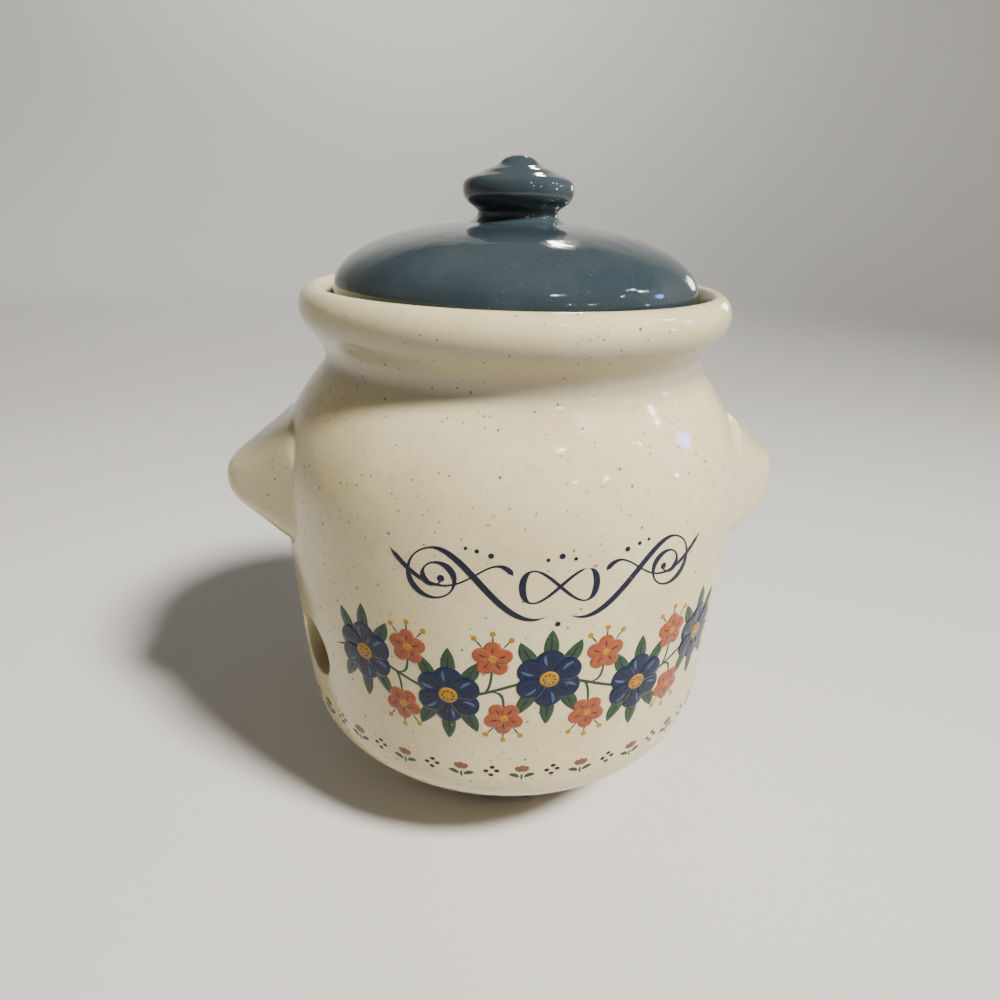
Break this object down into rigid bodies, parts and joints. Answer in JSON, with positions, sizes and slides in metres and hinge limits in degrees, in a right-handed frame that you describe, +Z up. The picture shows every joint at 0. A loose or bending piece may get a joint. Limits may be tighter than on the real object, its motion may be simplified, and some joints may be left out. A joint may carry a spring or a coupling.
{
  "type": "lidded garlic keeper",
  "caption": "Glazed stoneware keeping crock with side lugs, round vents through its wall and a domed lift-off lid with a turned knob.",
  "frame": {"origin": "on the surface it stands on, at the centre of the turned foot ring", "axes": "+Z up along the turned axis; -Y is the decorated face; the lugs reach along -X (left_lug) and +X (right_lug)"},
  "size_m": [0.1598, 0.128, 0.1781],
  "materials": {
    "pot_wall": "glossy cream glaze with fine iron specks",
    "left_lug": "glossy cream glaze with fine iron specks",
    "right_lug": "glossy cream glaze with fine iron specks",
    "lid_dome": "glossy slate blue glaze",
    "lid_knob": "glossy slate blue glaze"
  },
  "bodies": {
    "pot": {"pot_wall": "pot_wall", "left_lug": "left_lug", "right_lug": "right_lug"},
    "lid": {"lid_dome": "lid_dome", "lid_knob": "lid_knob"}
  },
  "joints": [
    {"name": "lid_lift", "type": "slide", "parent": "pot", "child": "lid", "axis": [0, 0, 1], "range_m": [0, 0.12]}
  ]
}
